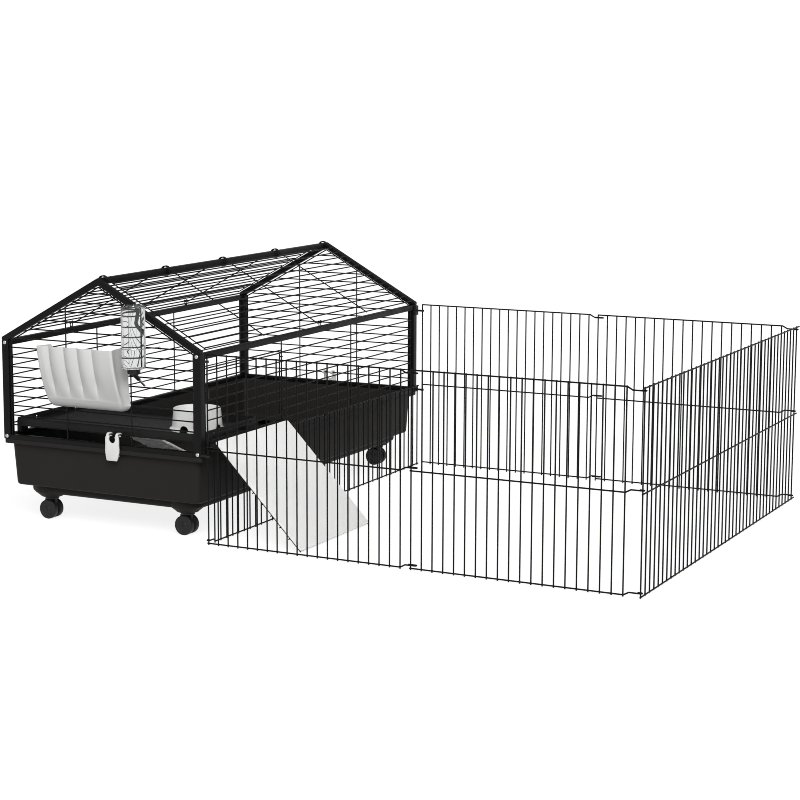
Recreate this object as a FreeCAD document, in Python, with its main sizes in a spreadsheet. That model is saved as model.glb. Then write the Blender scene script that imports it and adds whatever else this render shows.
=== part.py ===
import FreeCAD, Part
import os
import math
import Sketcher
from FreeCAD import Vector, Placement, Rotation

# Small animal cage with a gabled wire top, a wheeled tray and a folding wire pen.
# Millimetres, +Z up, the floor at z = 0.  Construction frame: x = 0 is the ridge
# plane of the cage and y = 0 its mid-length; at the end every piece is moved by
# (-org_x, -org_y) so that the origin is under the middle of the whole object.

doc = FreeCAD.newDocument("small_animal_cage")

# ---------------------------------------------------------------- dimensions
CELLS = [
    ("cage_width", 594), ("cage_length", 1200),
    ("rim_top", 214), ("rim_height", 11), ("rim_lip", 3), ("rim_radius", 8),
    ("wall_inset", 12), ("wall_radius", 16), ("wall_taper", 6), ("wall_thick", 3),
    ("step_height", 94), ("pan_inset", 42), ("pan_bottom", 70), ("pan_thick", 4),
    ("pod_radius", 45), ("pod_foot", 28), ("pod_bottom", 59), ("pod_x", 207), ("pod_y", 521),
    ("stem_radius", 5), ("stem_top", 88), ("stem_clear", 0.05),
    ("wheel_radius", 25), ("wheel_width", 13.5), ("wheel_gap", 0.6), ("web_thick", 9),
    ("axle_radius", 3), ("trail", 3), ("neck_radius", 18),
    ("post_size", 20), ("rail_size", 15), ("base_height", 12), ("tube_wall", 1.2),
    ("post_top", 470), ("apex_top", 641), ("eave_top", 477), ("ridge_top", 640),
    ("mesh_radius", 1.7), ("mesh_pitch", 25), ("mesh_first", 251),
    ("roof_pitch", 25), ("roof_last", 329), ("loop_radius", 12.18), ("loop_wire", 1.5),
    ("roof_span", 572), ("loop_shift", 3.5),
    ("sill_height", 247), ("lintel_height", 431), ("jamb_near", -566), ("jamb_far", -188),
    ("door_bottom", 263), ("door_top", 424), ("door_near", -556), ("door_far", -198),
    ("platform_half", 272), ("platform_near", -578), ("platform_far", -281),
    ("platform_low", 246), ("platform_high", 268), ("platform_wall", 3), ("platform_floor", 250),
    ("ramp_width", 357), ("ramp_thick", 4), ("ramp_top_x", 318), ("ramp_top_z", 250.37),
    ("ramp_foot_x", 557.5), ("ramp_foot_z", 2.6), ("ramp_wire", 1.6), ("ramp_near", -573),
    ("inner_left", -235), ("inner_width", 105), ("inner_thick", 4),
    ("bowl_x", 177), ("bowl_y", -424), ("bowl_base", 70), ("bowl_rim", 59.5), ("bowl_height", 55),
    ("bottle_x", 128), ("bottle_y", -634), ("bottle_radius", 30), ("bottle_low", 428), ("bottle_high", 583),
    ("cap_radius", 16), ("cap_low", 414.5),
    ("clip_x", 40), ("clip_far_x", 5), ("clip_width", 45), ("clip_thick", 3.6),
    ("pen_x", 315.7), ("pen_near", -598.4), ("pen_far", 589.2), ("pen_corner", 1113.75),
    ("pen_height", 473), ("pen_mid", 236), ("pen_low", 5), ("pen_pitch", 27.5),
    ("side_pitch", 28.97), ("low_pitch", 28.4), ("pen_wire", 1.8), ("pen_rail", 1.85),
    ("hook_drop", 7), ("hook_half", 3.72), ("hook_past", 15), ("bracket_clear", 0.06),
    ("org_x", 569.01), ("org_y", -39.6),
]
dims = doc.addObject("Spreadsheet::Sheet", "dims")
for row, (alias, value) in enumerate(CELLS, 1):
    dims.set("A%d" % row, alias)
    dims.set("B%d" % row, str(value))
    dims.setAlias("B%d" % row, alias)
doc.recompute()


def D(alias):
    return float(dims.get(alias))


NODES = {}
HALF = D("cage_width") / 2
HL = D("cage_length") / 2
RAIL = D("rail_size")
POST = D("post_size")
SLOPE = (D("apex_top") - D("eave_top")) / HALF
TH = math.atan(SLOPE)
UX, UZ = math.cos(TH), -math.sin(TH)      # down the right-hand slope
NX, NZ = math.sin(TH), math.cos(TH)       # out of the right-hand slope


def keep(label, obj):
    obj.Label = label
    NODES[label] = obj
    return obj


def box(name, lx, ly, lz, base, rot=None):
    """A block whose three sizes follow the sheet."""
    b = doc.addObject("Part::Box", name)
    for prop, expr in (("Length", lx), ("Width", ly), ("Height", lz)):
        if isinstance(expr, str):
            b.setExpression(prop, expr)
        else:
            setattr(b, prop, expr)
    b.Placement = Placement(Vector(*base), rot or Rotation())
    return b


def tube(label, lx, ly, lz, base, axis):
    """A square or flat tube with an open bore along one axis."""
    outer = box(label + "_outer", lx, ly, lz, base)
    w = "dims.tube_wall"
    size = {"x": lx, "y": ly, "z": lz}
    off = []
    inner = []
    for a in "xyz":
        if a == axis:
            inner.append(size[a])
            off.append(0)
        else:
            inner.append("%s - 2 * %s" % (size[a], w))
            off.append(D("tube_wall"))
    bore = box(label + "_bore", inner[0], inner[1], inner[2],
               (base[0] + off[0], base[1] + off[1], base[2] + off[2]))
    cut = doc.addObject("Part::Cut", label + "_tube")
    cut.Base = outer
    cut.Tool = bore
    return keep(label, cut)


def feature(label, shape):
    f = doc.addObject("Part::Feature", label + "_shape")
    f.Shape = shape
    return keep(label, f)


def rod(p, q, r):
    p, q = Vector(*p), Vector(*q)
    d = q.sub(p)
    return Part.makeCylinder(r, d.Length, p, d)


def ball(p, r):
    return Part.makeSphere(r, Vector(*p))


def weld(shapes):
    s = shapes[0].multiFuse(shapes[1:]) if len(shapes) > 1 else shapes[0]
    return s


def block(x0, x1, y0, y1, z0, z1):
    return Part.makeBox(x1 - x0, y1 - y0, z1 - z0, Vector(x0, y0, z0))


def rounded(hx, hy, r, z, cx=0.0, cy=0.0):
    """A rounded rectangle wire at height z."""
    k = r * (1 - math.sqrt(0.5))
    p = [Vector(cx - hx + r, cy - hy, z), Vector(cx + hx - r, cy - hy, z),
         Vector(cx + hx, cy - hy + r, z), Vector(cx + hx, cy + hy - r, z),
         Vector(cx + hx - r, cy + hy, z), Vector(cx - hx + r, cy + hy, z),
         Vector(cx - hx, cy + hy - r, z), Vector(cx - hx, cy - hy + r, z)]
    m = [Vector(cx + hx - k, cy - hy + k, z), Vector(cx + hx - k, cy + hy - k, z),
         Vector(cx - hx + k, cy + hy - k, z), Vector(cx - hx + k, cy - hy + k, z)]
    e = []
    for i in range(4):
        a, b, c = p[2 * i], p[2 * i + 1], p[(2 * i + 2) % 8]
        e.append(Part.makeLine(a, b))
        e.append(Part.Arc(b, m[i], c).toShape())
    return Part.Wire(e)


def prism(hx, hy, r, z0, z1, cx=0.0, cy=0.0):
    return Part.Face(rounded(hx, hy, r, z0, cx, cy)).extrude(Vector(0, 0, z1 - z0))


def loft(sections):
    return Part.makeLoft([rounded(*s) for s in sections], True, True)


def sketch_body(label, points, length_expr=None, revolve=False, midplane=False):
    """A body made from one closed profile, padded by a sheet length or revolved about the profile's y axis."""
    body = doc.addObject("PartDesign::Body", label + "_body")
    sk = body.newObject("Sketcher::SketchObject", label + "_profile")
    plane = [f for f in body.Origin.OriginFeatures if f.Role == "XY_Plane"][0]
    sk.AttachmentSupport = (plane, [""])
    sk.MapMode = "FlatFace"
    n = len(points)
    for i in range(n):
        a, b = points[i], points[(i + 1) % n]
        sk.addGeometry(Part.LineSegment(Vector(a[0], a[1], 0), Vector(b[0], b[1], 0)), False)
    for i in range(n):
        sk.addConstraint(Sketcher.Constraint("Coincident", i, 2, (i + 1) % n, 1))
    doc.recompute()
    if revolve:
        f = body.newObject("PartDesign::Revolution", label + "_turned")
        f.Profile = sk
        f.ReferenceAxis = (sk, ["V_Axis"])
        f.Angle = 360.0
    else:
        f = body.newObject("PartDesign::Pad", label + "_pad")
        f.Profile = sk
        f.setExpression("Length", length_expr)
        if midplane:
            f.Midplane = True
    body.Tip = f
    doc.recompute()
    return body


UPRIGHT = Rotation(Vector(1, 0, 0), 90)   # turns a profile's y into z

# ---------------------------------------------------------------- tray
# Deep plastic tray: tapered walls, an overhanging rim with a down-turned lip, a
# shallower pan below the step and four pods that carry the caster stems.
rim0 = D("rim_top") - D("rim_height")
wx, wy, wr = HALF - D("wall_inset"), HL - D("wall_inset"), D("wall_radius")
tp, th = D("wall_taper"), D("wall_thick")
st, pb = D("step_height"), D("pan_bottom")
shell = loft([(wx - tp - 6, wy - tp - 6, wr - 4, st - 1), (wx - tp - 1.5, wy - tp - 1.5, wr - 1, st + 2.5),
              (wx - tp, wy - tp, wr, st + 7), (wx, wy, wr, D("rim_top"))])
pi = D("pan_inset")
pan = loft([(HALF - pi - 10, HL - pi - 10, 24, pb), (HALF - pi, HL - pi, 30, pb + 8), (HALF - pi, HL - pi, 30, st + 2)])
rim = prism(HALF, HL, D("rim_radius"), rim0, D("rim_top")).cut(
    prism(HALF - D("rim_lip"), HL - D("rim_lip"), D("rim_radius") - D("rim_lip"), rim0, D("rim_top") - D("rim_lip")))
pods, bores = [], []
for sx in (-1, 1):
    for sy in (-1, 1):
        c = Vector(sx * D("pod_x"), sy * D("pod_y"), D("pod_bottom"))
        pods.append(Part.makeCone(D("pod_foot"), D("pod_radius"), 15, c))
        pods.append(Part.makeCylinder(D("pod_radius"), st + 2 - D("pod_bottom") - 15, c + Vector(0, 0, 15)))
        bores.append(Part.makeCylinder(D("stem_radius") + D("stem_clear"), D("stem_top") + 0.4 - D("pod_bottom"), c))
hollow = loft([(wx - tp - 9 - th, wy - tp - 9 - th, wr - 6, st + 4), (wx - tp - th, wy - tp - th, wr - 3, st + 14),
               (wx - th, wy - th, wr - 3, D("rim_top") + 1)])
sump = loft([(HALF - pi - 10 - th, HL - pi - 10 - th, 22, pb + D("pan_thick")), (HALF - pi - th, HL - pi - th, 27, pb + 10),
             (HALF - pi - th, HL - pi - th, 27, st + 6)])
posts_in = []
for sx in (-1, 1):
    for sy in (-1, 1):
        # the stem sockets rise a little into the tray as closed bosses
        posts_in.append(Part.makeCylinder(9, st + 6 - pb, Vector(sx * D("pod_x"), sy * D("pod_y"), pb)))
tray = shell.multiFuse([pan, rim] + pods).cut(hollow.fuse(sump)).multiFuse(posts_in)
for b in bores:
    tray = tray.cut(b)
feature("tray", tray)

# ---------------------------------------------------------------- square tube frame
for sx, side in ((-1, "left"), (1, "right")):
    for sy, end in ((-1, "near"), (1, "far")):
        x0 = sx * HALF if sx < 0 else HALF - POST
        y0 = -HL if sy < 0 else HL - POST
        tube("post_%s_%s" % (end, side), "dims.post_size", "dims.post_size", "dims.post_top - dims.rim_top",
             (x0, y0, D("rim_top")), "z")
for sx, side in ((-1, "left"), (1, "right")):
    x0 = -HALF if sx < 0 else HALF - RAIL
    tube("eave_tube_" + side, "dims.rail_size", "dims.cage_length - 2 * dims.post_size", "dims.rail_size",
         (x0, -HL + POST, D("post_top") - RAIL), "y")
tube("ridge_tube", "dims.rail_size", "dims.cage_length - 2 * dims.rail_size", "dims.rail_size",
     (-RAIL / 2, -HL + RAIL, D("ridge_top") - RAIL), "y")

# four flat base rails that lie on the tray rim between the posts
rails = []
bh, tw = D("base_height"), D("tube_wall")
for sy in (-1, 1):
    y0 = -HL if sy < 0 else HL - RAIL
    a = block(-HALF + POST, HALF - POST, y0, y0 + RAIL, D("rim_top"), D("rim_top") + bh)
    rails.append(a.cut(block(-HALF + POST, HALF - POST, y0 + tw, y0 + RAIL - tw, D("rim_top") + tw, D("rim_top") + bh - tw)))
for sx in (-1, 1):
    x0 = -HALF if sx < 0 else HALF - RAIL
    a = block(x0, x0 + RAIL, -HL + POST, HL - POST, D("rim_top"), D("rim_top") + bh)
    rails.append(a.cut(block(x0 + tw, x0 + RAIL - tw, -HL + POST, HL - POST, D("rim_top") + tw, D("rim_top") + bh - tw)))
feature("base_rails", Part.makeCompound(rails))

# rafters: mitred at the ridge, standing on the post tops
zt = lambda x: D("apex_top") - SLOPE * x
low = RAIL / math.cos(TH)
foot = (D("apex_top") - low - D("post_top")) / SLOPE


def rafter(sx, y0):
    w = tw
    pts = [(0, zt(0)), (HALF, zt(HALF)), (HALF, D("post_top")), (foot, D("post_top")), (0, zt(0) - low)]
    out = Part.Face(Part.makePolygon([Vector(sx * x, y0, z) for x, z in pts + pts[:1]])).extrude(Vector(0, RAIL, 0))
    iw = w / math.cos(TH)
    ins = [(w, zt(w) - iw), (HALF - w, zt(HALF - w) - iw), (HALF - w, D("post_top") + w),
           (foot + w, D("post_top") + w), (w, zt(w) - low + iw)]
    void = Part.Face(Part.makePolygon([Vector(sx * x, y0 + w, z) for x, z in ins + ins[:1]])).extrude(Vector(0, RAIL - 2 * w, 0))
    return out.cut(void)


for sx, side in ((-1, "left"), (1, "right")):
    for sy, end in ((-1, "near"), (1, "far")):
        feature("rafter_%s_%s" % (end, side), rafter(sx, -HL if sy < 0 else HL - RAIL))

# pan-head screws on the gable faces of the posts
screws = []
for sx in (-1, 1):
    for sy in (-1, 1):
        for z in (463.5, 222.0):
            p = Vector(sx * (HALF - POST / 2), sy * HL, z)
            d = Vector(0, sy, 0)
            head = Part.makeCylinder(5, 1.2, p, d).fuse(Part.makeCone(5, 3.4, 1.4, p + d * 1.2, d))
            slot = Part.makeBox(6.4, 2, 1.1, Vector(-3.2, -1, -0.55))
            slot.Placement = Placement(p + d * 2.6, Rotation())
            slot2 = Part.makeBox(1.1, 2, 6.4, Vector(-0.55, -1, -3.2))
            slot2.Placement = Placement(p + d * 2.6, Rotation())
            screws.append(head.cut(slot.fuse(slot2)))
feature("frame_screws", Part.makeCompound(screws))

# ---------------------------------------------------------------- welded wire walls
MR, MP = D("mesh_radius"), D("mesh_pitch")
levels = [D("mesh_first") + MP * k for k in range(20)]
base_top = D("rim_top") + bh
line_z = lambda x: zt(0) - low - 5 / math.cos(TH) - SLOPE * x    # border wire under the rafters
line_x = lambda z: (line_z(0) - z) / SLOPE


def gable(sy):
    yh, yv = sy * (HL - 8.5), sy * (HL - 6.0)
    w = []
    for z in levels:
        if z < D("post_top") - 5:
            w.append(rod((-HALF + POST, yh, z), (HALF - POST, yh, z), MR))
        elif line_x(z) > 20:
            w.append(rod((-line_x(z), yh, z), (line_x(z), yh, z), MR))
    for x in (sy * 101.5, -sy * 92.0):
        w.append(rod((x, yv, base_top), (x, yv, line_z(abs(x))), MR))
    xb = HALF - POST - 3
    w.append(rod((-xb, yv, line_z(xb)), (0, yv, line_z(0)), MR))
    w.append(rod((xb, yv, line_z(xb)), (0, yv, line_z(0)), MR))
    w.append(ball((0, yv, line_z(0)), MR))
    for s in (-1, 1):
        w.append(rod((s * xb, yv, base_top), (s * xb, yv, line_z(xb)), MR))
        w.append(ball((s * xb, yv, line_z(xb)), MR))
    return weld(w)


feature("gable_wires_near", gable(-1))
feature("gable_wires_far", gable(1))

XV, XH = HALF - 8.2, HALF - 5.7       # uprights and levels of the long walls
under_eave = D("post_top") - RAIL


def long_wall(sx, y0, y1, uprights):
    w = []
    for z in levels:
        if z < under_eave - 10:
            w.append(rod((sx * XH, y0, z), (sx * XH, y1, z), MR))
    for y in uprights:
        w.append(rod((sx * XV, y, base_top), (sx * XV, y, under_eave), MR))
    return weld(w)


end_in = HL - POST
feature("wall_wires_left", long_wall(-1, -end_in, end_in, (-end_in + 4, -188, 200, end_in - 4)))
feature("wall_wires_right", long_wall(1, D("jamb_far") - MR, end_in, (D("jamb_far"), 200, end_in - 4)))

# wires round the doorway: near jamb, lintel and sill
jn, jf = D("jamb_near"), D("jamb_far")
feature("door_surround_wires", weld([
    rod((XV, jn, base_top), (XV, jn, under_eave), MR),
    rod((XH, -end_in, D("lintel_height")), (XH, jf - 2.2, D("lintel_height")), MR),
    rod((XH, -end_in, D("sill_height")), (XH, jf - 2.2, D("sill_height")), MR)]))

# wire door with loops that turn on the far jamb
dn, df, dl, dt = D("door_near"), D("door_far"), D("door_bottom"), D("door_top")
door = [rod((XV, dn, dl - 1), (XV, dn, dt + 1), MR), rod((XV, df, dl - 1), (XV, df, dt + 1), MR)]
for z in [dl] + [z for z in levels if dl + 20 < z < dt - 10] + [dt]:
    door.append(rod((XH, dn - 2.4, z), (XH, df + 2.4, z), MR))
for z in (288.5, 413.5):
    ring = Part.makeTorus(MR + 1.37, 1.3, Vector(XV, jf, z), Vector(0, 0, 1))
    door += [ring, rod((XV, jf - MR - 1.37, z), (XV, df, z), 1.3)]
feature("side_door", weld(door))

# turn latch on the near upright of the door, shown turned free of the near jamb
lz0, lz1 = 354.5, 372.5
latch = block(XV - 4.6, XV + 4.2, dn - 4, dn + 4, lz0, lz1)
latch = latch.fuse(block(XV - 15.0, XV, dn + 2.0, dn + 4.6, lz0 + 4, lz1 - 4))
latch = latch.cut(Part.makeCylinder(MR + 0.06, lz1 - lz0 + 2, Vector(XV, dn, lz0 - 1)))
feature("door_latch", latch)

# ---------------------------------------------------------------- roof panels
RZ = D("ridge_top") - RAIL / 2          # ridge axis height
LR, LW = D("loop_radius"), D("loop_wire")
lift = (zt(0) - RZ) * math.cos(TH)      # roof plane above the ridge axis
start = math.sqrt(LR * LR - lift * lift)
slope_len = (HALF - 4) / math.cos(TH)


def roof_point(sx, s, n, y):
    """A point s down the slope from under the ridge and n above the roof plane."""
    k = lift + n
    return (sx * (NX * k + UX * s), y, RZ + NZ * k + UZ * s)


def roof(sx):
    ys = [D("roof_span") * k / 2 + sx * D("loop_shift") for k in (-2, -1, 0, 1, 2)]
    w = []
    for y in ys:
        w.append(rod(roof_point(sx, start + 1.2, 0, y), roof_point(sx, D("roof_last") + 1.5, 0, y), LW))
    s = 29.0
    while s < D("roof_last") - 8:
        w.append(rod(roof_point(sx, s, 2.5, ys[0] - 1.5), roof_point(sx, s, 2.5, ys[-1] + 1.5), MR))
        s += D("roof_pitch")
    s = D("roof_last")
    w.append(rod(roof_point(sx, s, 2.5, ys[0] - 1.5), roof_point(sx, s, 2.5, ys[-1] + 1.5), MR))
    loops = [Part.makeTorus(LR, LW, Vector(0, y, RZ), Vector(0, 1, 0)) for y in ys]
    return weld(w), Part.makeCompound(loops), ys


for sx, side in ((-1, "left"), (1, "right")):
    panel, loops, ys = roof(sx)
    feature("roof_panel_" + side, panel)
    feature("roof_loops_" + side, loops)


def roof_latch(sx, y):
    """A small wire bail that swings on the lowest roof wire and bears on the eave tube."""
    px, _, pz = roof_point(sx, D("roof_last"), 2.5, y)
    tip = D("post_top") + 1.6
    w = []
    for s in (-1, 1):
        w.append(Part.makeTorus(MR + 1.27, 1.2, Vector(px, y + s * 5, pz), Vector(0, 1, 0)))
        w.append(rod((px, y + s * 5, pz - MR - 1.27), (px, y + s * 5, tip), 1.2))
        w.append(ball((px, y + s * 5, tip), 1.2))
    w.append(rod((px, y - 5, tip), (px, y + 5, tip), 1.2))
    return weld(w), (px, y, pz)


PIVOTS = {}
for label, sx, y in (("roof_latch_right", 1, 14.0), ("roof_latch_left_near", -1, -300.0), ("roof_latch_left_far", -1, 272.0)):
    shp, PIVOTS[label] = roof_latch(sx, y)
    feature(label, shp)

# ---------------------------------------------------------------- platform and inner ramp
ph, pn, pf = D("platform_half"), D("platform_near"), D("platform_far")
p0, p1, pw = D("platform_low"), D("platform_high"), D("platform_wall")
outer = box("platform_outer", "2 * dims.platform_half", "dims.platform_far - dims.platform_near",
            "dims.platform_high - dims.platform_low", (-ph, pn, p0))
inner = box("platform_inner", "2 * dims.platform_half - 2 * dims.platform_wall",
            "dims.platform_far - dims.platform_near - 2 * dims.platform_wall", "dims.platform_high - dims.platform_floor",
            (-ph + pw, pn + pw, D("platform_floor")))
shelf = doc.addObject("Part::Cut", "platform_shelf")
shelf.Base, shelf.Tool = outer, inner
holes = []
for i, y in enumerate((-495.0, -320.0)):
    h = doc.addObject("Part::Cylinder", "platform_hole_%d" % i)
    h.Radius, h.Height = 4.6, 2 * ph + 20
    h.Placement = Placement(Vector(-ph - 10, y, 257.5), Rotation(Vector(0, 1, 0), 90))
    holes.append(h)
ears = []
for i, (sx, y) in enumerate(((-1, -545), (-1, -345), (1, -545), (1, -345))):
    e = box("platform_ear_%d" % i, 16.0, 26.0, p0 + 12 - base_top,
            (ph - 1.5 if sx > 0 else -ph - 14.5, y - 13, base_top))
    ears.append(e)
hole_cut = doc.addObject("Part::MultiFuse", "platform_holes")
hole_cut.Shapes = holes
pierced = doc.addObject("Part::Cut", "platform_pierced")
pierced.Base, pierced.Tool = shelf, hole_cut
platform = doc.addObject("Part::MultiFuse", "platform_moulding")
platform.Shapes = [pierced] + ears
keep("platform", platform)

# white inner ramp that hangs from the back of the platform, its foot just clear of the tray floor
it = D("inner_thick")
top = [(pf + 0.2, 246), (pf + 14, 241), (-240, 224), (-110.8, 145), (-31.9, 109.7), (24, 84.8), (40, 77.6)]
under = [(y - 1.6, z - it) for y, z in reversed(top)]
under[0] = (35.5, 76.4)
under[-1] = (pf + 0.2, 240)
ir = sketch_body("inner_ramp_board", top + under, "dims.inner_width")
ir.Placement = Placement(Vector(D("inner_left"), 0, 0), Rotation(Vector(0, 0, 1), 90).multiply(Rotation(Vector(1, 0, 0), 90)))
lips = []
for i, x0 in enumerate((0.0, D("inner_width") - 3.0)):
    lip = [(y, z) for y, z in top] + [(y + 2.5, z + 7) for y, z in reversed(top[1:-1])]
    wire = Part.makePolygon([Vector(D("inner_left") + x0, y, z - 0.8 if k < len(top) else z) for k, (y, z) in enumerate(lip)] +
                            [Vector(D("inner_left") + x0, lip[0][0], lip[0][1] - 0.8)])
    f = doc.addObject("Part::Feature", "inner_ramp_lip_%d" % i)
    f.Shape = Part.Face(wire).extrude(Vector(3.0, 0, 0))
    lips.append(f)
rib = []
for i in range(8):
    y = -210 + 26.0 * i
    z = 224 + (y + 240) * (145 - 224) / (240 - 110.8) if y < -110.8 else 145 + (y + 110.8) * (109.7 - 145) / (110.8 - 31.9)
    r = doc.addObject("Part::Feature", "inner_ramp_tread_%d" % i)
    r.Shape = Part.makeCylinder(1.8, D("inner_width") - 6, Vector(D("inner_left") + 3, y, z), Vector(1, 0, 0))
    rib.append(r)
inner_ramp = doc.addObject("Part::MultiFuse", "inner_ramp_moulding")
inner_ramp.Shapes = [ir] + lips + rib
keep("inner_ramp", inner_ramp)

# ---------------------------------------------------------------- food bowl
bb, br, hb = D("bowl_base"), D("bowl_rim"), D("bowl_height")
profile = [(0, 22), (br - 16, 22), (br - 7, 29), (br - 3.6, hb - 2), (br - 2.2, hb), (br, hb), (br + 0.6, hb - 2),
           (bb - 5.5, 8), (bb, 4), (bb, 0), (bb - 6, 0), (bb - 8.5, 8), (bb - 10, 16), (bb - 14, 18.6), (0, 18.6)]
bowl_turn = sketch_body("food_bowl_turned", profile, revolve=True)
bowl_turn.Placement = Placement(Vector(D("bowl_x"), D("bowl_y"), D("platform_floor") + 0.1), UPRIGHT)
arches = []
for i in range(2):
    a = doc.addObject("Part::Cylinder", "food_bowl_arch_%d" % i)
    a.Radius, a.Height = 12.5, 200.0
    ang = 90.0 * i
    r = Rotation(Vector(0, 0, 1), ang).multiply(Rotation(Vector(0, 1, 0), 90))
    a.Placement = Placement(Vector(D("bowl_x"), D("bowl_y"), D("platform_floor") + 4.5) - r.multVec(Vector(0, 0, 100)), r)
    arches.append(a)
arch = doc.addObject("Part::MultiFuse", "food_bowl_arches")
arch.Shapes = arches
bowl = doc.addObject("Part::Cut", "food_bowl_cut")
bowl.Base, bowl.Tool = bowl_turn, arch
keep("food_bowl", bowl)

# ---------------------------------------------------------------- hay feeder
# A fluted bin that hangs outside the near gable: five lobes of unequal width, deep at
# the top, sloping in to a rounded bottom lip, closed by two end cheeks.
FY = -HL - 1.2


def feeder_section(x, grow, lift, inset):
    """Side profile of the bin at a station along x; lift rounds the lower corners at the ends."""
    pts = [(0, 316), (20, 316), (32, 321.5), (40, 331), (46, 343), (54 + grow * 0.5, 362), (63.5 + grow * 0.8, 386),
           (73.5 + grow, 418), (80.5 + grow, 451), (84 + grow, 468)]
    out = []
    for i, (y, z) in enumerate(pts):
        z += lift * max(0.0, 1 - (z - 316) / 40.0) + (inset if i < 4 else 0.0)
        out.append((FY - max(0.0, y - inset), z))
    return out


def feeder_loft(stations, inset, lid):
    wires = []
    for x, grow, lift in stations:
        pts = feeder_section(x, grow, lift, inset)
        pts[-1] = (pts[-1][0], lid)
        line = [Vector(x, y, z) for y, z in pts] + [Vector(x, FY, lid)]
        wires.append(Part.makePolygon(line + line[:1]))
    return Part.makeLoft(wires, True, True)


creases = (-128.0, -97.0, -52.0, -12.0, 31.5, 95.5)
xs0, xs1 = creases[0], creases[-1]
stations = []
for i in range(len(creases) - 1):
    a, b = creases[i], creases[i + 1]
    for k in range(4):
        t = k / 4.0
        x = a + (b - a) * t
        grow = 8.0 * math.sin(math.pi * t) - 8.0
        if i == 0 and k < 2:
            grow = (-3.0, -0.8)[k]
        if i == len(creases) - 2 and k > 2:
            grow = -0.6
        stations.append((x, grow, (10.0, 1.5)[k] if i == 0 and k < 2 else 0.0))
stations += [(xs1 - 7.0, -1.2, 3.0), (xs1, -3.0, 12.0)]
bin_out = feeder_loft(stations, 0.0, 476.0)
bin_in = feeder_loft(stations, 3.0, 488.0)
squeeze = FreeCAD.Matrix()
k = (xs1 - xs0 - 6.0) / (xs1 - xs0)
squeeze.A11, squeeze.A14 = k, (1 - k) * (xs0 + xs1) / 2
bin_in = bin_in.transformGeometry(squeeze)
bin_in.translate(Vector(0, 1.0, 0))
feeder = bin_out.cut(bin_in)
# back edge strips and two hooks by the gable wire
hooks = []
for x in (xs0 + 30, xs1 - 36):
    hooks.append(block(x, x + 10, FY - 4, FY - 0.8, 440, 460.5))
feeder = feeder.multiFuse([block(xs0, xs0 + 10, FY - 3, FY, 330, 476), block(xs1 - 10, xs1, FY - 3, FY, 330, 476),
                           block(xs0 + 6, xs1 - 6, FY - 3, FY, 318, 331), block(xs0, xs1, FY - 3, FY, 446, 458)] + hooks)
feature("hay_feeder", feeder)

# ---------------------------------------------------------------- water bottle
bx, by, bR = D("bottle_x"), D("bottle_y"), D("bottle_radius")
b0, b1 = D("bottle_low"), D("bottle_high")
prof = [(0, b1 - 3), (13, b1 - 3), (15, b1 - 1), (bR - 4, b1), (bR - 1.2, b1 - 1.2), (bR, b1 - 4), (bR, b0 + 5), (bR - 1.2, b0 + 1.6),
        (bR - 4, b0 + 0.2), (13, b0 + 0.2), (13, b0 + 2.4), (bR - 4.8, b0 + 2.4), (bR - 1.8, b0 + 5.4), (bR - 1.8, b1 - 5.2),
        (bR - 4.8, b1 - 2.4), (15.6, b1 - 3.4), (13.6, b1 - 5.2), (0, b1 - 5.2)]
bottle = sketch_body("water_bottle_turned", prof, revolve=True)
bottle.Placement = Placement(Vector(bx, by, 0), UPRIGHT)
keep("water_bottle", bottle)
cr, c0 = D("cap_radius"), D("cap_low")
cap = sketch_body("bottle_cap_turned", [(0, b0), (cr, b0), (cr, c0 + 2), (cr - 1, c0 + 0.6), (cr - 3, c0), (0, c0)], revolve=True)
cap.Placement = Placement(Vector(bx, by, 0), UPRIGHT)
tip_dir = Vector(0, 0.8, -0.6)
tip0 = Vector(bx, by, c0 + 0.5)
nose = doc.addObject("Part::Cone", "bottle_cap_nose")
nose.Radius1, nose.Radius2, nose.Height = 6.0, 4.6, 27
nose.Placement = Placement(tip0, Rotation(Vector(0, 0, 1), tip_dir))
cap_full = doc.addObject("Part::MultiFuse", "bottle_cap_full")
cap_full.Shapes = [cap, nose]
seat = doc.addObject("Part::Cylinder", "bottle_cap_socket")
seat.Radius, seat.Height = 3.05, 50
seat.Placement = Placement(tip0 + tip_dir * 12.0, Rotation(Vector(0, 0, 1), tip_dir))
cap_cut = doc.addObject("Part::Cut", "bottle_cap_moulding")
cap_cut.Base, cap_cut.Tool = cap_full, seat
keep("bottle_cap", cap_cut)
s_out = Part.makeCylinder(3.0, 44, tip0 + tip_dir * 12.2, tip_dir).fuse(Part.makeCone(3.0, 2.3, 3, tip0 + tip_dir * 56.2, tip_dir))
s_in = Part.makeCylinder(2.3, 43, tip0 + tip_dir * 12.0, tip_dir).fuse(Part.makeCylinder(1.6, 8, tip0 + tip_dir * 52, tip_dir))
feature("sipper_tube", s_out.cut(s_in))
ball_c = tip0 + tip_dir * 53.0
feature("sipper_ball", Part.makeSphere(2.1, ball_c))
# wire hanger: one spring wire round the front of the bottle, its two ends hooked over a gable wire
hr = 1.2
hz = 476.0 + MR + hr + 0.1
loop_r = bR + hr + 0.1
spread, wall_y = 46.0, -HL + 3.0
hang = [Part.makeTorus(loop_r, hr, Vector(bx, by, hz), Vector(0, 0, 1)).common(block(bx - 60, bx + 60, by - 60, by + 2, hz - 5, hz + 5))]
for e in (-1, 1):
    a = Vector(bx + e * loop_r, by + 1.5, hz)
    b = Vector(bx + e * spread, wall_y, hz)
    c = Vector(bx + e * spread, wall_y + 10.5, hz)
    d = Vector(bx + e * spread, wall_y + 10.5, hz - 7)
    hang += [rod(a, b, hr), ball(b, hr), rod(b, c, hr), ball(c, hr), rod(c, d, hr), ball(d, hr)]
feature("bottle_hanger", weld(hang))

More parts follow.
